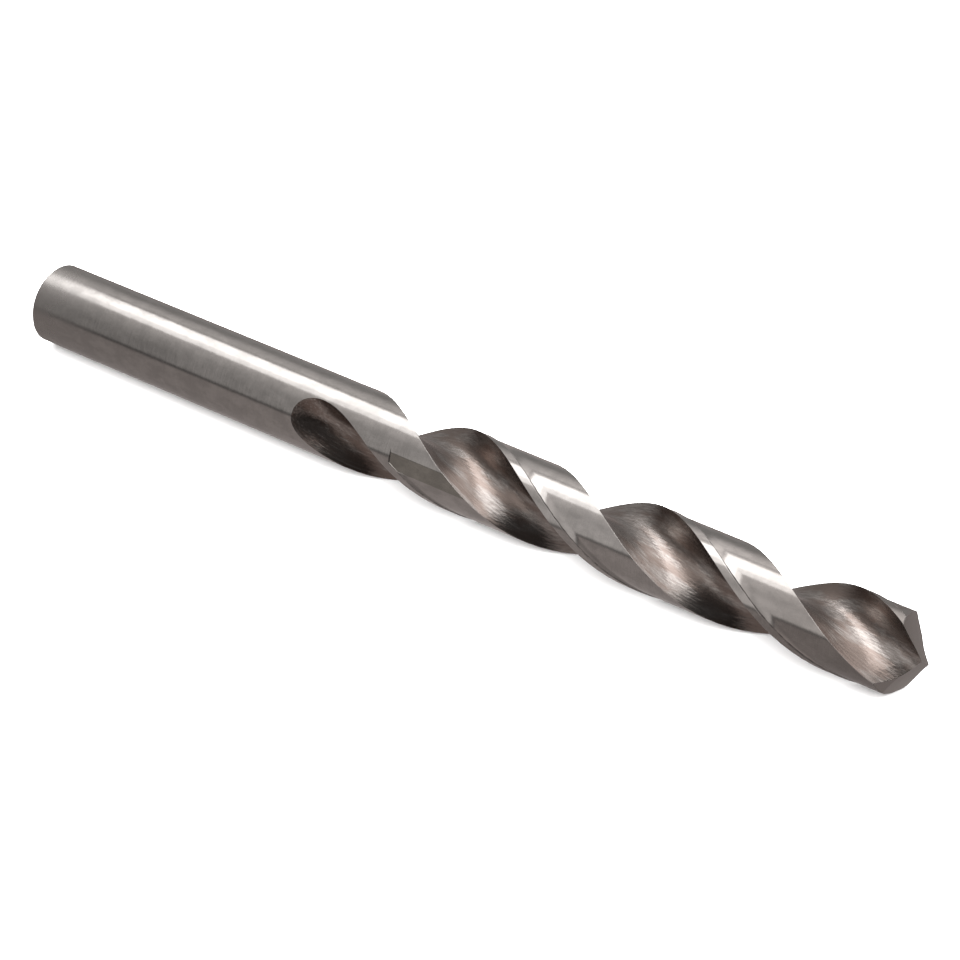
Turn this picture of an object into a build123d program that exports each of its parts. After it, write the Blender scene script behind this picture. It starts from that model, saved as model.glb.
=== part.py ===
from build123d import *
import os
from math import acos, asin, ceil, degrees, radians, sin, sqrt, tan

# A right-hand twist drill, ground from one round bar of high-speed steel: a plain round shank,
# two helical flutes that run out into it, two lands with a narrow margin along the leading edge
# and ground-down body clearance behind it, and a point with two straight lips and a chisel edge.
# Each flank of the point is a twisted plane that falls away from its lip, with a steeper facet
# at its heel.
#
# Lengths are in millimetres and angles in degrees. The drill lies along X with its point towards
# +X, touching the ground at z = 0, and the origin is under its middle.
# A station is a distance along the drill from its shank end. An angle round the drill goes from
# +Y towards +Z. In a cross-section it is counted from the leading edge of the first land, with
# the flute at positive angles and the land at negative ones.

# Bar: the diameter is across the lips, and the fluted part thins from there back to the shank
diameter = 12.0
shank_diameter = 11.95
overall_length = 150.8
shank_chamfer = 0.5

# Helix: how far the drill advances in one turn, and where the first lip's corner points
helix_lead = 62.8
lip_direction = 103.15

# Flutes
flute_length = 101.2
flute_opening = 108.0
web_at_point = 2.4
web_at_shank = 3.8
web_direction = 48.0
heel_hollow = 0.25
run_out_length = 10.9
run_out_direction = 115.0

# Body clearance
margin_width = 1.15
clearance_depth = 0.2
clearance_length = 83.4
wheel_edge_radius = 1.0
run_in_angle = 19.5
run_in_bite = 0.01

# Point
point_angle = 118.0
lip_offset = 0.8
relief_at_corner = 17.0
relief_at_middle = 30.0
heel_line_turn = 34.0
heel_line_offset = 1.25
heel_fall = 32.0

# How a flute's leading side is set out between the lip's corner and the web, as a share of the
# drill's radius and a multiple of the web's, how a loft follows the helix, and how far the
# cutting tools stand clear of the bar
rake_middle = 0.6
rake_inner = 1.7
turn_per_section = 30.0
tool_clearance = 1.8

# Worked out from the above
full_turn = 360.0
half_turn = full_turn / 2
radius = diameter / 2
clearance_radius = radius - clearance_depth
outside_radius = radius + tool_clearance
twist_rate = full_turn / helix_lead
section_step = turn_per_section / twist_rate
margin_angle = degrees(margin_width / radius)
flute_end = overall_length - flute_length
full_depth_station = flute_end + run_out_length
clearance_start = overall_length - clearance_length
cone_slope = 1 / tan(radians(point_angle / 2))


def half_chord(at_radius):
    """Distance along a lip, seen from the point, from its middle out to this radius."""
    return sqrt(at_radius**2 - lip_offset**2)


# Both flanks fall away from their lip, so the chisel edge, where the drill ends, lies below the
# height that the lips would reach half-way between their corners
fall_at_middle = tan(radians(relief_at_middle))
fall_at_corner = tan(radians(relief_at_corner))
lips_top = overall_length + lip_offset * fall_at_middle
corner_station = lips_top - half_chord(radius) * cone_slope


def leading_edge(station):
    """Angle round the drill of the first land's leading edge."""
    return lip_direction + twist_rate * (station - corner_station)


def across(station, turn=0.0):
    """Plane across the drill at a station, facing the point, turned about the drill's axis."""
    middle = Vector(station - overall_length / 2, 0, radius)
    return Plane(middle, x_dir=Vector(0, 1, 0).rotate(Axis.X, turn), z_dir=(1, 0, 0))


def polar(at_radius, angle):
    """Point of a cross-section, from the drill's axis."""
    return Vector(at_radius, 0).rotate(Axis.Z, angle)


def stations(first, last):
    """Evenly spaced stations from first to last, no further apart than a loft allows."""
    count = ceil((last - first) / section_step)
    return [first + (last - first) * number / count for number in range(count + 1)]


# --- Flute cutter's cross-section -------------------------------------------------------------


def rake_point(at_radius):
    """Point of the flute's leading side, curved so that the ground lip comes out straight."""
    lip_turn = degrees(asin(lip_offset / at_radius) - asin(lip_offset / radius))
    rise = cone_slope * (half_chord(at_radius) - half_chord(radius))
    return polar(at_radius, lip_turn + twist_rate * rise)


core_radius = web_at_point / 2
rake_radii = [outside_radius, radius, rake_middle * radius, rake_inner * core_radius]
core_point = polar(core_radius, web_direction)
heel_point = polar(radius, flute_opening)
heel_side = heel_point - core_point
hollow = heel_side.rotate(Axis.Z, 90).normalized() * heel_hollow
heel_outside = heel_point + heel_side.normalized() * tool_clearance
outer_corner = polar(diameter, flute_opening / 2)

with BuildSketch() as flute_section:
    with BuildLine():
        Spline(
            *[rake_point(at_radius) for at_radius in rake_radii],
            core_point,
            core_point + heel_side * 0.5 + hollow,
            heel_point,
            heel_outside,
        )
        Polyline(heel_outside, outer_corner, rake_point(outside_radius))
    make_face()


def flute_lift(station):
    """How far the cutter has moved out at a station: slowly for the thickening web, then fast."""
    web_share = (overall_length - station) / flute_length
    thicken = polar((web_at_shank - web_at_point) / 2 * web_share, flute_opening / 2)
    clear_of_bar = (radius - thicken.Y) / sin(radians(run_out_direction))
    past_full_depth = max(0.0, full_depth_station - station) / run_out_length
    return thicken, thicken + polar(clear_of_bar * past_full_depth**2, run_out_direction)


# The cutter leaves the bar where the flutes end, and carries on a little past it in the air
with BuildPart() as flute_cutter:
    for station in stations(flute_end - run_out_length / 3, overall_length + section_step):
        thicken, lift = flute_lift(station)
        turn_back = degrees(asin(thicken.Y / radius))
        with BuildSketch(across(station, leading_edge(station) - turn_back)):
            with Locations(lift):
                add(flute_section.sketch)
    loft()

# --- Body clearance ---------------------------------------------------------------------------

# The wheel's rounded edge leaves the cleared land smoothly and meets the margin in a crease
edge_middle = clearance_radius - run_in_bite + wheel_edge_radius
edge_reach = (edge_middle**2 + radius**2 - wheel_edge_radius**2) / (2 * edge_middle * radius)
edge_angle = -margin_angle - degrees(acos(edge_reach))
edge_foot = polar(edge_middle - wheel_edge_radius, edge_angle)
edge_side = polar(edge_middle, edge_angle) + polar(wheel_edge_radius, edge_angle + 90)
heel_angle = flute_opening - half_turn
past_heel = heel_angle - flute_opening / 4

with BuildSketch() as clearance_section:
    with BuildLine():
        TangentArc(edge_foot, edge_side, tangent=polar(1, edge_angle + 90))
        Polyline(
            edge_side,
            polar(diameter, past_heel / 2),
            polar(outside_radius, past_heel),
            polar(clearance_radius / 2, past_heel / 2),
            edge_foot,
        )
    make_face()

with BuildPart() as clearance_cutter:
    for station in stations(clearance_start, overall_length + section_step):
        with BuildSketch(across(station, leading_edge(station))):
            add(clearance_section.sketch)
    loft()
    with BuildSketch(across(clearance_start)):
        Circle(clearance_radius)
    extrude(amount=clearance_length + 2 * section_step, mode=Mode.SUBTRACT)
    # The wheel comes in flat, a little deeper than it then goes round: behind the line where it
    # first touches, the land keeps its height up to that flat, which runs out within a third of
    # a turn of the helix
    touch_angle = leading_edge(clearance_start) - run_in_angle
    with BuildSketch(across(clearance_start - tool_clearance, touch_angle)):
        with Locations((clearance_radius - run_in_bite, 0)):
            Rectangle(clearance_radius, outside_radius, align=(Align.MAX, Align.MAX))
    extrude(amount=tool_clearance + helix_lead / 3, mode=Mode.SUBTRACT)

# --- Point ------------------------------------------------------------------------------------


def flank_height(out, ahead):
    """Height of the first lip's flank above the lips' top, out along the lip and ahead of it."""
    fall = fall_at_middle + (fall_at_corner - fall_at_middle) * out / half_chord(radius)
    return (ahead - lip_offset) * fall - out * cone_slope


lip_turn_back = degrees(asin(lip_offset / radius))
lip_out = Vector(0, 1, 0).rotate(Axis.X, lip_direction - lip_turn_back)
lip_ahead = lip_out.rotate(Axis.X, 90)
point_up = Vector(1, 0, 0)
point_top = Vector(lips_top - overall_length / 2, 0, radius)
over_point = 2 * diameter

# The heel falls away more steeply, behind a line across the flank from the chisel edge's end
heel_along = polar(1, -heel_line_turn)
heel_back = polar(1, -heel_line_turn - 90)
heel_near = heel_back * heel_line_offset
heel_far = heel_near + heel_along * radius
heel_near_height = flank_height(heel_near.X, heel_near.Y)
heel_drop = (flank_height(heel_far.X, heel_far.Y) - heel_near_height) / radius
heel_line = lip_out * heel_along.X + lip_ahead * heel_along.Y + point_up * heel_drop
heel_slope = lip_out * heel_back.X + lip_ahead * heel_back.Y - point_up * tan(radians(heel_fall))
heel_origin = point_top + lip_out * heel_near.X + lip_ahead * heel_near.Y + point_up * heel_near_height

with BuildPart() as point_cutter:
    for out in (-outside_radius, outside_radius):
        with BuildSketch(Plane(point_top + lip_out * out, x_dir=lip_ahead, z_dir=lip_out)):
            with BuildLine():
                Polyline(
                    (-diameter, flank_height(out, -diameter)),
                    (diameter, flank_height(out, diameter)),
                    (diameter, over_point),
                    (-diameter, over_point),
                    close=True,
                )
            make_face()
    loft(ruled=True)
    with BuildSketch(Plane(heel_origin, x_dir=heel_line, z_dir=heel_slope.cross(heel_line))):
        Rectangle(2 * over_point, 2 * over_point)
    extrude(amount=over_point)

# --- Drill ------------------------------------------------------------------------------------

drill_axis = Axis((0, 0, radius), (1, 0, 0))
shank_radius = shank_diameter / 2
standing = (Align.CENTER, Align.CENTER, Align.MIN)

with BuildPart() as twist_drill:
    with Locations(across(0)):
        Cylinder(shank_radius, flute_end, align=standing)
    shank_rim = twist_drill.faces().sort_by(Axis.X)[0].edges()
    chamfer(shank_rim, shank_chamfer)
    with Locations(across(flute_end)):
        Cone(shank_radius, radius, flute_length, align=standing)
    for cutter in (flute_cutter, clearance_cutter, point_cutter):
        for turn in (0.0, half_turn):
            add(cutter.part.rotate(drill_axis, turn), mode=Mode.SUBTRACT)

twist_drill.part.label = "twist_drill"

os.makedirs("parts", exist_ok=True)
export_step(twist_drill.part, "parts/twist_drill.step")
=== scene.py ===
from math import cos, pi, radians, sin

import bpy
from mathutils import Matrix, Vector


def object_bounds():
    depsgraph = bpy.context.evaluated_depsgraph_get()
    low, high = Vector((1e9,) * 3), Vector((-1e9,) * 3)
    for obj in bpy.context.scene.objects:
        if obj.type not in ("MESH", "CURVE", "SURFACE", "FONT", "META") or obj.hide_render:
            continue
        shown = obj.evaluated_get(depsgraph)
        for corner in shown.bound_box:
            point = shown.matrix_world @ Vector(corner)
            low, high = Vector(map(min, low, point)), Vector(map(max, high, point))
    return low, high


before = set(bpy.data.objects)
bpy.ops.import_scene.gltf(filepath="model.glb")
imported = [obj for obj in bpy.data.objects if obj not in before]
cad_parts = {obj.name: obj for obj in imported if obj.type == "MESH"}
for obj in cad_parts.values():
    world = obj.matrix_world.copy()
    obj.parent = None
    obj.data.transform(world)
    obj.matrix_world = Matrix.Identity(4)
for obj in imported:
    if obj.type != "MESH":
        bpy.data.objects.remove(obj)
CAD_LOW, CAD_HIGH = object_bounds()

bl_info = {
    "name": "Twist drill bit",
    "version": (1, 0, 0),
    "blender": (4, 5, 0),
    "location": "3D View > Sidebar > Twist drill",
    "description": "Gives a ground twist drill its steel and a studio to lie in",
    "category": "Object",
}

DRILL = "twist_drill"
MM = 0.001
FULL_TURN = 360.0
DRILL_RADIUS = (CAD_HIGH.z - CAD_LOW.z) / 2

# Sizes of the drill, in millimetres and degrees. A station is a distance from the shank end, and
# a direction goes round the drill from +Y towards +Z
HELIX_LEAD = 62.8
LIP_DIRECTION = 103.15
CORNER_STATION = 147.69
CLEARANCE_START = 67.4
MARGIN_WIDTH = 1.15
RUN_IN_ANGLE = 19.5
LEADING_EDGE_AT_START = LIP_DIRECTION - FULL_TURN * CORNER_STATION / HELIX_LEAD

# Stations between which a finish, a form or painted shade comes in
WORN_END = (16.0, 2.0)
RUN_OUT = (66.0, 58.0)
CLEARED = (66.8, 67.2)
RUN_IN_FLAT = (92.0, 91.0)
NEAR_POINT = (112.0, 142.0)
AT_POINT = (143.0, 144.0)

# Distances from the drill's axis, in millimetres, between which a surface begins to count as the
# round one, the step up to the margin, the margin itself or the run-in flat
ROUND_OUT = (5.6, 5.7)
STEP_OUT = (5.68, 5.74)
MARGIN_OUT = (5.85, 5.9)
FLAT_OUT = (5.88, 5.84)

# Distances in millimetres: from the middle of the run-in flat to its sides, and from the line
# through both lips to the heel side of a flute
FLAT_HALF_WIDTH = (1.6, 1.55)
HEEL_SIDE = (1.2, 4.2)

# How squarely a surface faces out from the axis, and then along it towards the point, where it
# begins to count as each of these
FACES_LIKE_ROUND = (0.93, 0.96)
FACES_LIKE_STEP = (0.4, 0.6)
FACES_LIKE_FLANK = (0.58, 0.66)
FACES_LIKE_SHANK_END = (-0.6, -0.65)

# Edges: the radius in millimetres that they catch the light with, and how much the normal has to
# turn to show as one
EDGE_RADIUS = 0.1
EDGE_SHARPNESS = (0.01, 0.12)

# Heights of the shading in millimetres, and the angle, in radians, over which the land rises
# towards its margin
STREAK_HEIGHT = 0.036
GRINDING_HEIGHT = 0.004
WAVE_HEIGHT = 0.012
MARGIN_RISE = 0.2
MARGIN_RISE_ANGLE = 0.25

# Shades that multiply a colour: dull steel, and painted shade near the point, on the run-in flat, on the
# heel side of a flute and in the run-out; and the colour of a painted glint on an edge
DULL = 0.84
NEAR_POINT_PAINTED_SHADE = (0.93, 0.91, 0.9, 1.0)
RUN_IN_PAINTED_SHADE = (0.86, 0.87, 0.82, 1.0)
HEEL_PAINTED_SHADE = (0.74, 0.74, 0.74, 1.0)
RUN_OUT_PAINTED_SHADE = (0.92, 0.88, 0.86, 1.0)
EDGE_PAINTED_GLINT = (0.6, 0.58, 0.56, 1.0)

# Studio: colours of the room above and below the table's edge, and the key light's turn, length
# and height, in metres
ABOVE_TABLE = (1.0, 0.96, 0.94, 1.0)
BELOW_TABLE = (1.0, 0.9, 0.87, 1.0)
KEY_TURN = radians(-17)
KEY_LENGTH = 0.966
KEY_HEIGHT = 0.7
FILL_HEIGHT = 1.2
FILL_SIDE = 6.0
CAMERA_NEAR = 0.01


# --- Node trees -------------------------------------------------------------------------------


class Wire:
    """An output socket. Arithmetic on it adds Math nodes to its tree."""

    def __init__(self, tree, socket):
        self.tree = tree
        self.socket = socket

    def math(self, operation, *others):
        """This value through a Math node, with any others after it."""
        return self.tree.math(operation, self, *others)

    def __add__(self, other):
        return self.math("ADD", other)

    def __radd__(self, other):
        return self.tree.math("ADD", other, self)

    def __sub__(self, other):
        return self.math("SUBTRACT", other)

    def __rsub__(self, other):
        return self.tree.math("SUBTRACT", other, self)

    def __mul__(self, other):
        return self.math("MULTIPLY", other)

    def __rmul__(self, other):
        return self.tree.math("MULTIPLY", other, self)

    def __truediv__(self, other):
        return self.math("DIVIDE", other)

    def __rtruediv__(self, other):
        return self.tree.math("DIVIDE", other, self)

    def ramp(self, low, high, shape="SMOOTHSTEP"):
        """0 at low, 1 at high, easing between and held past them; high may be under low."""
        settings = {"data_type": "FLOAT", "interpolation_type": shape}
        inputs = {"Value": self, "From Min": low, "From Max": high}
        return self.tree.node("ShaderNodeMapRange", settings, inputs)

    def near(self, middle, reach):
        """1 at the middle, easing to 0 at this reach to both sides of it."""
        return (self - middle).math("ABSOLUTE").ramp(reach, 0.0)


class Tree:
    """A node tree being filled: one method adds any node."""

    def __init__(self, owner):
        owner.use_nodes = True
        self.nodes = owner.node_tree.nodes
        self.links = owner.node_tree.links
        self.nodes.clear()

    def node(self, kind, settings=None, inputs=None, output=0):
        """Adds a node of a kind, its settings first, then values or wires on its inputs."""
        made = self.nodes.new(kind)
        for name, value in (settings or {}).items():
            setattr(made, name, value)
        for name, value in (inputs or {}).items():
            if isinstance(value, Wire):
                self.links.new(value.socket, made.inputs[name])
            else:
                made.inputs[name].default_value = value
        return Wire(self, made.outputs[output]) if made.outputs else made

    def math(self, operation, *values):
        """Math node on these values or wires."""
        return self.node("ShaderNodeMath", {"operation": operation}, dict(enumerate(values)))

    def vector(self, x, y, z):
        """Three values or wires joined into a vector."""
        return self.node("ShaderNodeCombineXYZ", None, {0: x, 1: y, 2: z})

    def axes(self, vector):
        """The three parts of a vector."""
        parts = self.node("ShaderNodeSeparateXYZ", None, {0: vector})
        return [Wire(self, socket) for socket in parts.socket.node.outputs]

    def dot(self, first, second):
        """How far two directions agree: 1 where they are the same."""
        settings = {"operation": "DOT_PRODUCT"}
        return self.node("ShaderNodeVectorMath", settings, {0: first, 1: second}, "Value")

    def noise(self, vector, detail, roughness):
        """Cloudy values between 0 and 1 that change over about one unit of the vector."""
        inputs = {"Vector": vector, "Scale": 1.0, "Detail": detail, "Roughness": roughness}
        return self.node("ShaderNodeTexNoise", None, inputs)

    def blend(self, factor, first, second, mode="MIX"):
        """Colour or direction that goes from the first to the second as the factor goes 0 to 1."""
        settings = {"data_type": "RGBA", "blend_type": mode}
        return self.node("ShaderNodeMix", settings, {0: factor, 6: first, 7: second}, 2)

    def surface(self, inputs):
        """Ends a material in a Principled shader with these inputs."""
        shader = self.node("ShaderNodeBsdfPrincipled", None, inputs)
        self.node("ShaderNodeOutputMaterial", None, {"Surface": shader})


def opaque(colour):
    """Three parts of a colour with the alpha that a colour socket takes after them."""
    return (*colour, 1.0)


# --- Settings ---------------------------------------------------------------------------------


class DrillSteelSettings(bpy.types.PropertyGroup):
    """Colours of the ground steel and the sizes that place them"""

    bare_steel: bpy.props.FloatVectorProperty(
        name="Bare steel",
        description="Colour of the ground high-speed steel",
        default=(0.46, 0.44, 0.425),
        subtype="COLOR",
        size=3,
        min=0.0,
        max=1.0,
    )
    flute_dark: bpy.props.FloatVectorProperty(
        name="Dark flute",
        description="Colour of the darkest streaks of the flutes",
        default=(0.275, 0.245, 0.23),
        subtype="COLOR",
        size=3,
        min=0.0,
        max=1.0,
    )
    flute_light: bpy.props.FloatVectorProperty(
        name="Light flute",
        description="Colour of the lightest streaks of the flutes",
        default=(0.44, 0.41, 0.39),
        subtype="COLOR",
        size=3,
        min=0.0,
        max=1.0,
    )
    flute_tint: bpy.props.FloatVectorProperty(
        name="Flute tint",
        description="Brown that heat has left in clouds over the flutes",
        default=(0.27, 0.222, 0.2),
        subtype="COLOR",
        size=3,
        min=0.0,
        max=1.0,
    )
    flank_steel: bpy.props.FloatVectorProperty(
        name="Flanks",
        description="Colour of the satin flanks of the point",
        default=(0.295, 0.278, 0.266),
        subtype="COLOR",
        size=3,
        min=0.0,
        max=1.0,
    )
    helix_lead: bpy.props.FloatProperty(
        name="Helix lead",
        description="How far the drill advances in one turn",
        default=HELIX_LEAD * MM,
        subtype="DISTANCE",
        unit="LENGTH",
    )
    margin_width: bpy.props.FloatProperty(
        name="Margin width",
        description="Width of the margin along each leading edge",
        default=MARGIN_WIDTH * MM,
        subtype="DISTANCE",
        unit="LENGTH",
    )
    run_in_direction: bpy.props.FloatProperty(
        name="Run-in direction",
        description="Angle from +Y to the flat where the clearance of one land begins",
        default=radians(LEADING_EDGE_AT_START + FULL_TURN * CLEARANCE_START / HELIX_LEAD - RUN_IN_ANGLE),
        subtype="ANGLE",
    )
    helix_phase: bpy.props.FloatProperty(
        name="Helix phase",
        description="Angle from +Y to a leading edge, where it would meet the shank end",
        default=radians(LEADING_EDGE_AT_START),
        subtype="ANGLE",
    )


class StudioSettings(bpy.types.PropertyGroup):
    """Floor, lights and camera of the studio"""

    floor_colour: bpy.props.FloatVectorProperty(
        name="Floor",
        description="Colour of the pale floor",
        default=(0.9, 0.9, 0.9),
        subtype="COLOR",
        size=3,
        min=0.0,
        max=1.0,
    )
    floor_side: bpy.props.FloatProperty(
        name="Floor side",
        description="Length of one side of the square floor",
        default=6.0,
        subtype="DISTANCE",
        unit="LENGTH",
    )
    camera_azimuth: bpy.props.FloatProperty(
        name="Camera azimuth",
        description="Turn of the camera round the drill, from looking along +Y",
        default=radians(36.586),
        subtype="ANGLE",
    )
    camera_elevation: bpy.props.FloatProperty(
        name="Camera elevation",
        description="Angle of the camera above the horizon",
        default=radians(34.139),
        subtype="ANGLE",
    )
    camera_distance: bpy.props.FloatProperty(
        name="Camera distance",
        description="From the camera to the point it looks at",
        default=0.4954,
        subtype="DISTANCE",
        unit="LENGTH",
    )
    camera_aim: bpy.props.FloatVectorProperty(
        name="Camera aim",
        description="The point that the camera looks at",
        default=(0.003626, 0.0, 0.00561),
        subtype="TRANSLATION",
        size=3,
    )
    camera_lens: bpy.props.FloatProperty(
        name="Lens",
        description="Focal length, in millimetres on a 36 mm sensor",
        default=133.4,
    )


# --- Steel ------------------------------------------------------------------------------------


def ground_steel(settings):
    """Ground high-speed steel: bright round surfaces, brushed darker flutes, satin flanks, with painted
    shade in places and a painted glint on sharp edges.
    """
    material = bpy.data.materials.new("ground_steel")
    tree = Tree(material)
    x, y, z = tree.axes(tree.node("ShaderNodeTexCoord", None, None, "Object"))
    station = (x - CAD_LOW.x) / MM
    across = y / MM
    above = (z - DRILL_RADIUS) / MM
    out = (across * across + above * above).math("SQRT")

    def outward(normal):
        """How squarely a normal faces away from the drill's axis."""
        _, sideways, upwards = tree.axes(normal)
        return (sideways * across + upwards * above) / out

    # A cross-section's own axes turn with the helix, so they hold still along a flute
    turn = station * (2 * pi * MM / settings.helix_lead) + settings.helix_phase
    cosine = turn.math("COSINE")
    sine = turn.math("SINE")
    from_lip = across * cosine + above * sine
    over_lip = above * cosine - across * sine
    land_angle = over_lip.math("ARCTAN2", from_lip).math("FLOORED_MODULO", pi)
    margin_back = pi - settings.margin_width / DRILL_RADIUS
    from_margin = (margin_back - land_angle).ramp(0.0, MARGIN_RISE_ANGLE, "LINEAR")

    # Which surface this is, by its normal, its facet's own normal and its place
    normal = tree.node("ShaderNodeNewGeometry", None, None, "Normal")
    facet = tree.node("ShaderNodeNewGeometry", None, None, "True Normal")
    rounded = tree.node("ShaderNodeBevel", {"samples": 4}, {"Radius": EDGE_RADIUS * MM})
    sharp_edge = (1 - tree.dot(rounded, normal)).ramp(*EDGE_SHARPNESS)
    along_normal = tree.axes(normal)[0]
    cleared = station.ramp(*CLEARED)
    on_round = out.ramp(*ROUND_OUT) * outward(facet).ramp(*FACES_LIKE_ROUND)
    on_step = out.ramp(*STEP_OUT) * outward(normal).ramp(*FACES_LIKE_STEP) * cleared
    turned = 1 - (1 - on_round) * (1 - on_step)
    flank = along_normal.ramp(*FACES_LIKE_FLANK) * station.ramp(*AT_POINT)
    shank_end = along_normal.ramp(*FACES_LIKE_SHANK_END)
    flute = (1 - turned) * (1 - flank) * (1 - shank_end)
    heel_side = over_lip.math("ABSOLUTE").ramp(*HEEL_SIDE)
    run_out = station.ramp(*RUN_OUT)
    worn_end = station.ramp(*WORN_END)

    # The flat where the clearance wheel came in, on both lands, as far as the next flute
    flat_cosine = cos(settings.run_in_direction)
    flat_sine = sin(settings.run_in_direction)
    over_flat = across * flat_cosine + above * flat_sine
    side = over_flat.math("SIGN")
    along_flat = (above * flat_cosine - across * flat_sine) * side
    on_flat = along_flat.math("ABSOLUTE").ramp(*FLAT_HALF_WIDTH) * out.ramp(*FLAT_OUT)
    on_flat = on_flat * cleared * station.ramp(*RUN_IN_FLAT)

    def in_flute(over, along, detail, roughness):
        """Noise that keeps to the flutes, varying so often per millimetre over and along them."""
        place = tree.vector(from_lip * over, over_lip * over, station * along)
        return tree.noise(place, detail, roughness)

    def on_bar(along, over, detail, roughness):
        """Noise that keeps to the bar, varying so often per millimetre along and over it."""
        place = tree.vector(station * along, across * over, above * over)
        return tree.noise(place, detail, roughness)

    streaks = in_flute(3.52, 0.8, 5.0, 0.6)
    scratches = in_flute(4.0, 0.12, 3.0, 0.5).ramp(0.58, 0.72)
    clouds = in_flute(0.5, 0.16, 3.0, 0.55)
    blotches = on_bar(0.3, 0.5, 4.0, 0.6)
    grinding = on_bar(7.0, 0.15, 3.0, 0.6)
    waves = on_bar(0.8, 0.5, 2.0, 0.5)

    bare = opaque(settings.bare_steel)
    dull = opaque(DULL * part for part in settings.bare_steel)
    round_colour = tree.blend(blotches.ramp(0.35, 0.65) + 0.6 * worn_end, bare, dull)
    # Painted shade: the lands near the point are darkened
    round_colour = tree.blend(station.ramp(*NEAR_POINT), round_colour, NEAR_POINT_PAINTED_SHADE, "MULTIPLY")
    # Painted shade with an olive tint: the run-in flat is darkened
    round_colour = tree.blend(on_flat, round_colour, RUN_IN_PAINTED_SHADE, "MULTIPLY")
    flute_dark = opaque(settings.flute_dark)
    flute_light = opaque(settings.flute_light)
    flute_colour = tree.blend(streaks.ramp(0.25, 0.75), flute_dark, flute_light)
    flute_colour = tree.blend(clouds.ramp(0.42, 0.6), flute_colour, opaque(settings.flute_tint))
    # Painted shade: the heel side of each flute is darkened
    flute_colour = tree.blend(heel_side, flute_colour, HEEL_PAINTED_SHADE, "MULTIPLY")
    # Painted shade with a brown tint: the flutes' run-out is darkened
    flute_colour = tree.blend(run_out, flute_colour, RUN_OUT_PAINTED_SHADE, "MULTIPLY")
    flute_colour = tree.blend(scratches * (0.15 + 0.45 * run_out), flute_colour, bare)
    colour = tree.blend(flute, round_colour, flute_colour)
    colour = tree.blend(flank, colour, opaque(settings.flank_steel))
    # Painted glint: sharp edges are lightened towards a pale steel
    colour = tree.blend(sharp_edge * 0.7, colour, EDGE_PAINTED_GLINT)

    ground_roughness = 0.12 + 0.07 * blotches
    worn_roughness = worn_end * (0.06 + 0.12 * blotches)
    brushed_roughness = flute * (0.01 + 0.1 * streaks)
    satin_roughness = flank * 0.14
    roughness = ground_roughness + worn_roughness + brushed_roughness + satin_roughness

    ground_height = (1 - flute) * (GRINDING_HEIGHT * grinding + WAVE_HEIGHT * waves)
    by_margin = (1 - from_margin) * (1 - from_margin) * (1 - out.ramp(*MARGIN_OUT))
    margin_height = turned * cleared * (1 - on_flat) * by_margin * MARGIN_RISE
    height = flute * streaks * STREAK_HEIGHT + ground_height + margin_height

    # Round surfaces are lit by their exact normal, away from the axis, and the flat by its own
    radial = tree.vector(0.0, across / out, above / out)
    flat_normal = tree.vector(0.0, side * flat_cosine, side * flat_sine)
    exact_normal = tree.blend(on_flat, radial, flat_normal)
    smooth_normal = tree.blend(turned * (1 - sharp_edge), rounded, exact_normal)
    relief = {"Height": height, "Strength": 1.0, "Distance": MM, "Normal": smooth_normal}
    bump = tree.node("ShaderNodeBump", None, relief)
    finish = {"Base Color": colour, "Metallic": 1.0, "Roughness": roughness, "Normal": bump}
    tree.surface(finish)
    return material


class DRILL_OT_steel(bpy.types.Operator):
    """Give the drill its ground steel"""

    bl_idname = "drill.steel"
    bl_label = "Ground steel"

    def execute(self, context):
        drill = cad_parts[DRILL]
        steel = ground_steel(context.scene.drill_steel)
        for slot in drill.material_slots:
            slot.material = steel
        return {"FINISHED"}


# --- Studio -----------------------------------------------------------------------------------


def studio_room(scene):
    """The room round the table, by direction: grey walls, a light corner and an open dark front."""
    world = bpy.data.worlds.new("studio_room")
    scene.world = world
    tree = Tree(world)
    x, y, up = tree.axes(tree.node("ShaderNodeTexCoord", None, None, "Generated"))

    def toward(azimuth, elevation):
        """How far the view agrees with a direction, given in degrees."""
        flat = cos(radians(elevation))
        east = flat * cos(radians(azimuth))
        north = flat * sin(radians(azimuth))
        return x * east + y * north + up * sin(radians(elevation))

    # Brightness of the walls, by height, behind the drill and on the camera's side
    behind = y.ramp(-0.25, 0.15)
    light_corner = toward(65, 60).ramp(0.66, 0.97)
    back_wall = 0.35 + 0.4 * up.ramp(0.28, 0.65) + light_corner
    along = x.ramp(-0.64, -0.4)
    low_wall = 0.21 + 0.6 * along
    high_wall = 0.4 + 0.25 * along + 0.25 * up.ramp(0.6, 0.85)
    near_wall = low_wall + (high_wall - low_wall) * up.ramp(0.35, 0.65)
    wall = near_wall + (back_wall - near_wall) * behind

    # Brightness of the table below them, with a dark gap across it
    table_gap = x.ramp(-0.455, -0.41) * x.ramp(-0.2, -0.35)
    table = 0.31 + 0.15 * x.ramp(-0.6, -0.47) - 0.19 * table_gap
    below = up.ramp(-0.03, -0.07)

    # Dark places: the table's edge, the frame past the key light and the open front
    table_edge = up.near(-0.025, 0.1) * (1 - behind)
    past_key = (-sin(KEY_TURN) * x + cos(KEY_TURN) * y) / up
    key_frame = past_key.near(0.36, 0.08) * up.ramp(0.3, 0.4)
    dark_front = toward(306, 20).ramp(0.66, 0.84)
    bright = wall + (table - wall) * below
    bright = bright * (1 - 0.8 * table_edge) * (1 - 0.4 * key_frame) * (1 - 0.9 * dark_front)
    colour = tree.blend(below, ABOVE_TABLE, BELOW_TABLE)
    back = tree.node("ShaderNodeBackground", None, {"Color": colour, "Strength": bright})
    tree.node("ShaderNodeOutputWorld", None, {"Surface": back})


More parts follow.
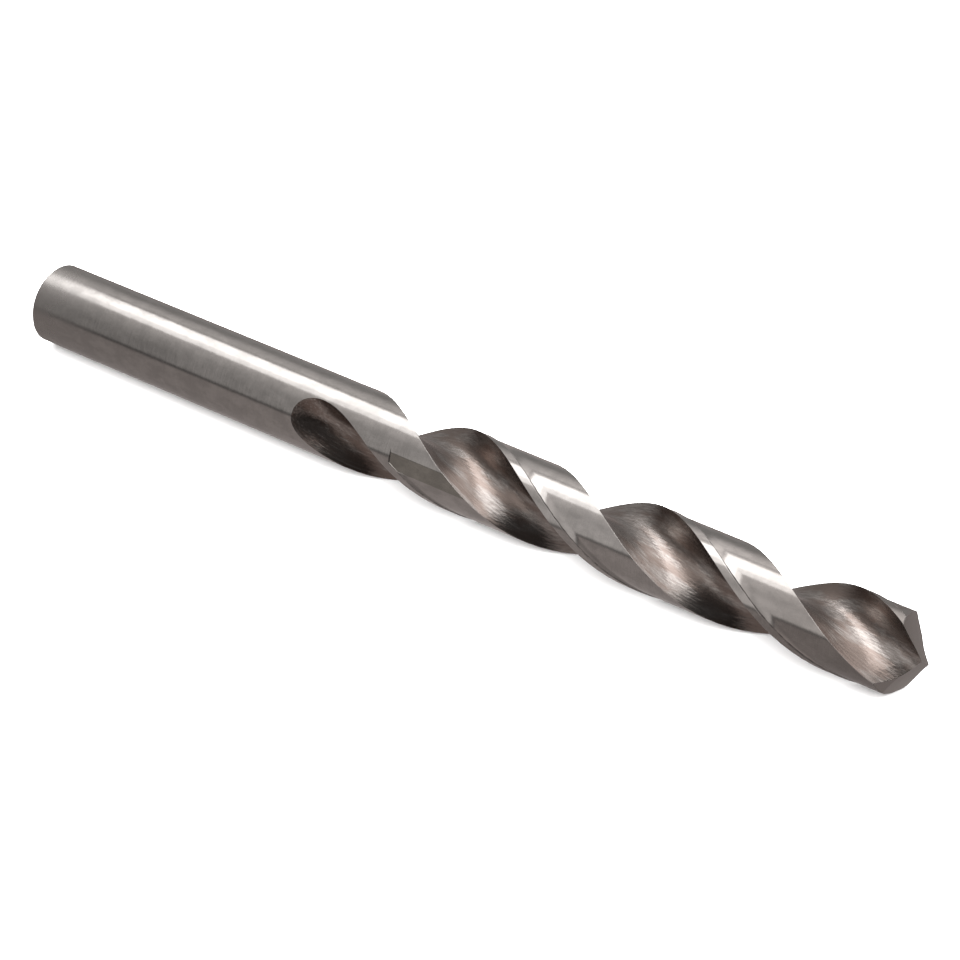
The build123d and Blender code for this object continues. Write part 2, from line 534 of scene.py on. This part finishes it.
def softbox(name, middle, length, depth, turn, radiance):
    """Area light that faces down, turned about the vertical, of this brightness to look at."""
    light = bpy.data.lights.new(name, "AREA")
    light.shape = "RECTANGLE"
    light.size = length
    light.size_y = depth
    light.energy = radiance * pi * length * depth
    box = bpy.data.objects.new(name, light)
    box.location = middle
    box.rotation_euler = (0.0, 0.0, turn)
    box.visible_camera = False
    bpy.context.scene.collection.objects.link(box)
    return box


def pale_floor(scene, settings):
    """Square floor that the drill lies on, which the steel doesn't mirror."""
    half = settings.floor_side / 2
    corners = [(-half, -half, 0), (half, -half, 0), (half, half, 0), (-half, half, 0)]
    mesh = bpy.data.meshes.new("floor")
    mesh.from_pydata(corners, [], [(0, 1, 2, 3)])
    material = bpy.data.materials.new("pale_floor")
    Tree(material).surface({"Base Color": opaque(settings.floor_colour), "Roughness": 0.9})
    mesh.materials.append(material)
    floor = bpy.data.objects.new("floor", mesh)
    floor.visible_glossy = False
    scene.collection.objects.link(floor)
    return floor


def studio_camera(scene, settings):
    """Camera turned round the drill and lifted over the horizon, looking at its aim."""
    lens = bpy.data.cameras.new("camera")
    lens.lens = settings.camera_lens
    lens.clip_start = CAMERA_NEAR
    turn = settings.camera_azimuth
    lift = settings.camera_elevation
    back = Vector((sin(turn) * cos(lift), -cos(turn) * cos(lift), sin(lift)))
    camera = bpy.data.objects.new("camera", lens)
    camera.location = Vector(settings.camera_aim) + back * settings.camera_distance
    camera.rotation_mode = "QUATERNION"
    camera.rotation_quaternion = (-back).to_track_quat("-Z", "Y")
    scene.collection.objects.link(camera)
    scene.camera = camera


class DRILL_OT_studio(bpy.types.Operator):
    """Lay the pale floor, hang the lights and set up the camera"""

    bl_idname = "drill.studio"
    bl_label = "Studio"

    def execute(self, context):
        scene = context.scene
        settings = scene.drill_studio
        pale_floor(scene, settings)
        studio_room(scene)
        softbox("key", (-0.191, 0.07, KEY_HEIGHT), KEY_LENGTH, 0.303, KEY_TURN, 1.95)
        softbox("key_edge", (-0.259, -0.152, KEY_HEIGHT), KEY_LENGTH, 0.161, KEY_TURN, 1.2)
        fill = softbox("fill", (0.0, 0.0, FILL_HEIGHT), FILL_SIDE, FILL_SIDE, 0.0, 4.0)
        fill.visible_glossy = False
        scene.view_settings.view_transform = "Standard"
        studio_camera(scene, settings)
        return {"FINISHED"}


class DRILL_PT_panel(bpy.types.Panel):
    """The steps of the twist drill, in order"""

    bl_idname = "DRILL_PT_panel"
    bl_label = "Twist drill"
    bl_space_type = "VIEW_3D"
    bl_region_type = "UI"
    bl_category = "Twist drill"

    def draw(self, context):
        for step in STEPS:
            self.layout.operator(step.bl_idname)


STEPS = (DRILL_OT_steel, DRILL_OT_studio)
CLASSES = (DrillSteelSettings, StudioSettings, *STEPS, DRILL_PT_panel)


def register():
    for item in CLASSES:
        bpy.utils.register_class(item)
    bpy.types.Scene.drill_steel = bpy.props.PointerProperty(type=DrillSteelSettings)
    bpy.types.Scene.drill_studio = bpy.props.PointerProperty(type=StudioSettings)


def unregister():
    del bpy.types.Scene.drill_studio
    del bpy.types.Scene.drill_steel
    for item in reversed(CLASSES):
        bpy.utils.unregister_class(item)


def main():
    register()
    bpy.ops.drill.steel()
    bpy.ops.drill.studio()


if __name__ == "__main__":
    main()
